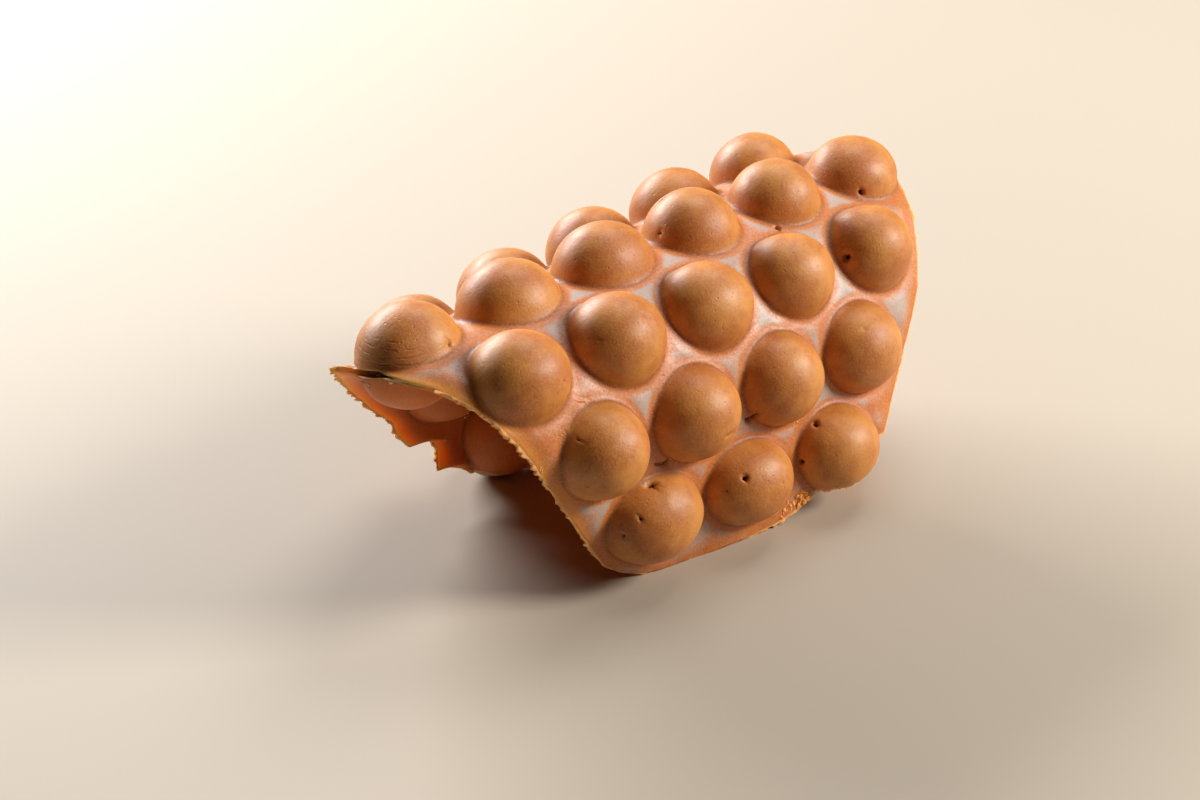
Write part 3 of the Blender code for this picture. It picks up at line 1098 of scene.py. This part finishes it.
# how many there are in a metre
CLOUDS = 70.0
BLOTCHES = 260.0
GRAINS = 1500.0
PORES = 620.0
PORE_PATCHES = 420.0
RIPPLES = 185.0
# how strong the painted sheen of a plateau is, and how much it changes from cloud to cloud
PLATEAU_SHEEN = 0.74
PLATEAU_SHEEN_CONTRAST = 3.2
# height of the grain, and how deep light goes under the surface, in metres
CRUST_RELIEF = 0.00030
CRUST_GLOW_DEPTH = 0.0022
MARGIN_GLOW_DEPTH = 0.0055


def new_material(name):
    """A material with only a Principled shader, and the start of its wires."""
    material = bpy.data.materials.new(name)
    material.use_nodes = True
    tree = material.node_tree
    shader = tree.nodes["Principled BSDF"]
    return material, Wire(tree), shader


def noise(start, where, scale, detail=2.0):
    """Cloud noise from 0 to 1, with about scale clouds a metre."""
    return start.node("ShaderNodeTexNoise", {"Vector": where, "Scale": scale, "Detail": detail})


def attribute(start, name):
    """A number stored on the points."""
    return start.node("ShaderNodeAttribute", output=2, attribute_name=name)


def crust_finish():
    """Baked crust: colours laid over one another by masks, with grain, pores and creases as bump."""
    material, start, shader = new_material("baked_crust")
    where = start.node("ShaderNodeTexCoord", output=3)
    egg = attribute(start, "egg")
    foot = attribute(start, "foot")
    torn = attribute(start, "torn")
    hollow = attribute(start, "hollow")
    margin = attribute(start, "margin") * (1.0 - egg)
    clouds = noise(start, where, CLOUDS, 3.0)
    blotches = noise(start, where, BLOTCHES, 3.0)
    grain = noise(start, where, GRAINS)
    cells = start.node("ShaderNodeTexVoronoi", {"Vector": where, "Scale": PORES})
    pore = (1.0 - cells.step(0.08, 0.26)) * noise(start, where, PORE_PATCHES, 1.0).step(0.50, 0.62)
    ripples = start.node("ShaderNodeTexWave", {
        "Vector": where, "Scale": RIPPLES, "Distortion": 2.2, "Detail": 2.0, "Detail Scale": 2.0,
    }, bands_direction="Z")
    crease = ripples.step(0.80, 1.00) * attribute(start, "creased") * egg * blotches.step(0.38, 0.58)
    browned = (clouds * 0.6 + blotches * 0.4).step(0.36, 0.64).mix(EGG_LIGHT, EGG_DARK)
    # painted sheen on the plateaus, made patchy by clouds and grain
    painted_sheen = attribute(start, "plateau") * (PLATEAU_SHEEN + (clouds - 0.5) * PLATEAU_SHEEN_CONTRAST) + (grain - 0.5) * 0.4
    colour = egg.mix(painted_sheen.step(0.10, 0.90).mix(WEB_ORANGE, PAINTED_PLATEAU_SHEEN), browned)
    layers = (
        # mask, its greatest share, colour
        # painted warm bounce on the inside face
        (attribute(start, "inside"), 0.85, PAINTED_WARM_BOUNCE),
        (margin, 0.85, MARGIN),
        # painted shade round each foot
        (foot, 0.70, PAINTED_CREASE_SHADE),
        (grain.step(0.35, 0.75), 0.20, GRAIN_LIGHT),
        # painted shade in the pores' pits
        (pore * egg, 0.60, EGG_DARK),
        # painted shade in the creases of the parted bubble
        (crease, 0.30, PAINTED_CREASE_SHADE),
        (torn, 0.80, TORN),
        # painted shade in the hollows
        (hollow.step(0.25, 0.95), 1.00, PAINTED_HOLLOW_SHADE),
    )
    for mask, share, layer in layers:
        colour = (mask * share).mix(colour, layer)
    height = grain * 0.45 + blotches * 0.55 - pore * 0.5 - crease * 1.1
    bump = start.node("ShaderNodeBump", {"Strength": 0.55, "Distance": CRUST_RELIEF, "Height": height})
    rough = 0.52 + (blotches - 0.5) * 0.22 + torn * 0.3 + hollow * 0.3
    look = {"Base Color": colour, "Roughness": rough, "Normal": bump}
    feed(shader, look | {
        "Subsurface Weight": 0.22, "Subsurface Scale": CRUST_GLOW_DEPTH,
        "Subsurface Radius": (1.0, 0.38, 0.14), "Specular IOR Level": 0.50,
        "Coat Weight": ((1.0 - egg) * grain.step(0.35, 0.60) * 0.3 + 0.10) * (1.0 - foot),
        "Coat Roughness": 0.42,
    })
    thin = start.node("ShaderNodeBsdfPrincipled", look | {
        "Subsurface Weight": 1.0, "Subsurface Scale": MARGIN_GLOW_DEPTH,
        "Subsurface Radius": (1.0, 0.75, 0.30), "Specular IOR Level": 0.25,
    })
    both = start.node("ShaderNodeMixShader", {
        0: margin * 0.8, 1: Wire(start.tree, shader.outputs[0]), 2: thin})
    feed(start.tree.nodes["Material Output"], {"Surface": both})
    return material


crust.data.materials.append(crust_finish())
print("crust finish of", len(crust.data.materials[0].node_tree.nodes), "nodes")

# %% [markdown]
# The crumb has two finishes. Where the sheet was torn it is moist and orange, deeper at the root than at
# the tips of the teeth, and much light passes through it. The loose crumbs have dried, and are paler and
# more opaque. One function makes both, from two colours, the pale one's least share and the share of
# light that passes through. The number on each point says how pale it is, and noise makes it uneven.

# %% Crumb finishes
TORN_DEEP = tone(1.00, 0.36, 0.085)
LUMP = tone(1.00, 0.36, 0.060)
CRUMB = tone(0.92, 0.72, 0.52)
CRUMB_BLOTCHES = 240.0
CRUMB_GRAINS = 1400.0
CRUMB_RELIEF = 0.00025
CRUMB_GLOW_DEPTH = 0.0015


def crumb_finish(name, deep, pale, least, glow):
    """Matte crumb: the deep colour at the root, the pale one at the tips, uneven between them; least is
    the pale colour's share at the root, and glow the share of light that passes through."""
    material, start, shader = new_material(name)
    where = start.node("ShaderNodeTexCoord", output=3)
    grain = noise(start, where, CRUMB_GRAINS)
    blotches = noise(start, where, CRUMB_BLOTCHES)
    share = attribute(start, "tip") * 0.8 + least + (blotches - 0.5) * 1.1 + (grain - 0.5) * 0.5
    bump = start.node("ShaderNodeBump", {"Strength": 0.5, "Distance": CRUMB_RELIEF, "Height": grain})
    feed(shader, {
        "Base Color": share.step(0.15, 0.85).mix(deep, pale), "Roughness": 0.75, "Normal": bump,
        "Subsurface Weight": glow, "Subsurface Scale": CRUMB_GLOW_DEPTH,
        "Subsurface Radius": (1.0, 0.75, 0.50),
    })
    return material


torn_crumb.data.materials.append(crumb_finish("torn_edge", TORN_DEEP, TORN, 0.4, 0.6))
crumbs.data.materials.append(crumb_finish("dry_crumb", LUMP, CRUMB, 0.0, 0.15))
print("finishes", [material.name for material in bpy.data.materials])

# %% [markdown]
# A plain pale floor, three soft lamps and a faint room light. The lamp on the right models the bubbles, one
# above fills their tops, and a wide low one behind, like a window, puts the glints on their upper left rims
# and the sheen on the web. Each lamp is placed by the direction it shines from.

# %% Floor and light
FLOOR_HALF = 3.0
FLOOR_TONE = tone(0.46, 0.39, 0.31)
FLOOR_ROUGHNESS = 0.7
LAMP_AIM = np.array([0.0, 0.0, 0.045])
LAMPS = (
    # name, direction, distance, width, height, watts, colour
    ("soft_right", (0.67, -0.59, 0.46), 1.20, 0.35, 0.35, 18.0, (1.0, 0.970, 0.900)),
    ("sky_above", (0.50, 0.20, 0.84), 1.20, 0.60, 0.60, 7.0, (0.97, 0.98, 1.0)),
    ("window_behind", (0.00, 0.90, 0.44), 1.30, 1.00, 0.30, 31.0, (0.97, 0.98, 1.0)),
)
ROOM_TONE = tone(1.0, 0.96, 0.92)
ROOM_STRENGTH = 0.010


def make_floor():
    """A large flat square just under the feet."""
    h = FLOOR_HALF
    floor = make_object("floor", np.array([(-h, -h, 0), (h, -h, 0), (h, h, 0), (-h, h, 0)]),
                        np.array([(0, 1, 2, 3)]))
    material, _, shader = new_material("floor_paint")
    feed(shader, {"Base Color": FLOOR_TONE, "Roughness": FLOOR_ROUGHNESS})
    floor.data.materials.append(material)


def make_lamp(name, direction, distance, width, height, watts, colour):
    """A rectangular lamp that faces the waffle from a direction."""
    lamp = bpy.data.lights.new(name, "AREA")
    lamp.shape = "RECTANGLE"
    lamp.size = width
    lamp.size_y = height
    lamp.energy = watts
    lamp.color = colour
    back = unit(np.array(direction))
    side = unit(np.cross(SKY, back))
    stand(name, lamp, LAMP_AIM + back * distance, side, np.cross(back, side), back)


make_floor()
for lamp in LAMPS:
    make_lamp(*lamp)
world = bpy.data.worlds.new("room")
world.use_nodes = True
feed(world.node_tree.nodes["Background"], {"Color": ROOM_TONE, "Strength": ROOM_STRENGTH})
bpy.context.scene.world = world
bpy.context.scene.view_settings.view_transform = "Standard"
print("lamps", [name for name, *_ in LAMPS])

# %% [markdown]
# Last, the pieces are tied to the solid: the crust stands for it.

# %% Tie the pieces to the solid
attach(crust, "root")
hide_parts("waffle")
for piece in (torn_crumb, crumbs):
    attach(piece, "root")
